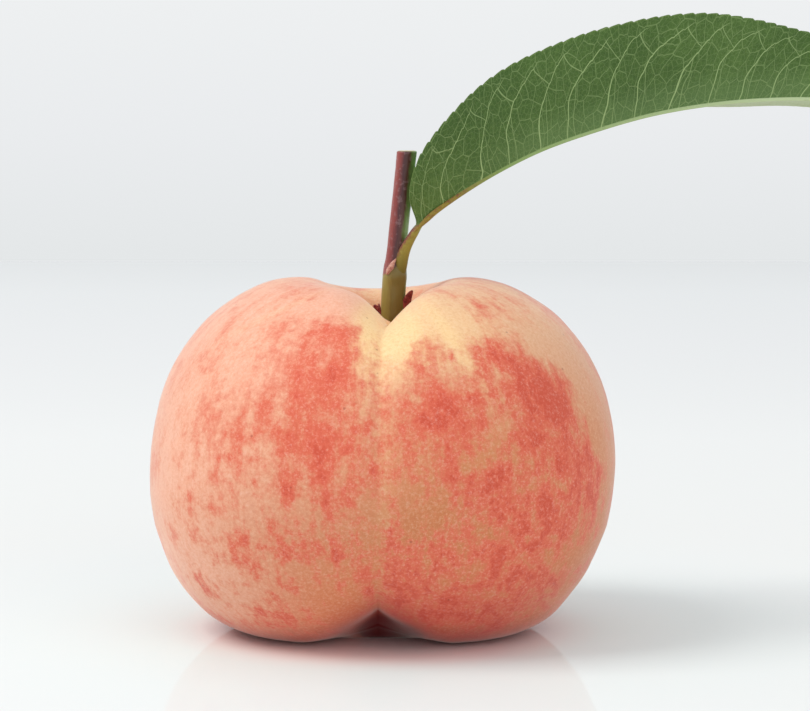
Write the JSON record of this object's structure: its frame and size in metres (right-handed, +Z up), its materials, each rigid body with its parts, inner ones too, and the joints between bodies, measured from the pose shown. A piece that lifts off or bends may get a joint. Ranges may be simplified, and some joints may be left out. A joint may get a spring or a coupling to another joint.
{
  "type": "peach",
  "caption": "Two-lobed ripe peach with downy blushed skin, standing on its blossom end, with a cut length of its shoot and one long folded leaf",
  "frame": {"origin": "Under the middle of the whole outline, fruit and leaf together, on the surface that the fruit stands on", "axes": "+Z up; the fruit's suture faces -Y; +X is the way the leaf arches, along the longest extent"},
  "size_m": [0.1408, 0.07, 0.0988],
  "materials": {
    "peach_skin": "matte",
    "shoot_bark": "satin",
    "leaf_blade": "satin",
    "bud_down": "matte",
    "bud_scale": "matte"
  },
  "bodies": {
    "root": {"peach_fruit": "peach_skin", "fruiting_shoot": "shoot_bark", "leaf": "leaf_blade", "axillary_bud": "bud_down", "bud_scale_1": "bud_scale", "bud_scale_2": "bud_scale", "bud_scale_3": "bud_scale", "bud_scale_4": "bud_scale"}
  },
  "joints": []
}
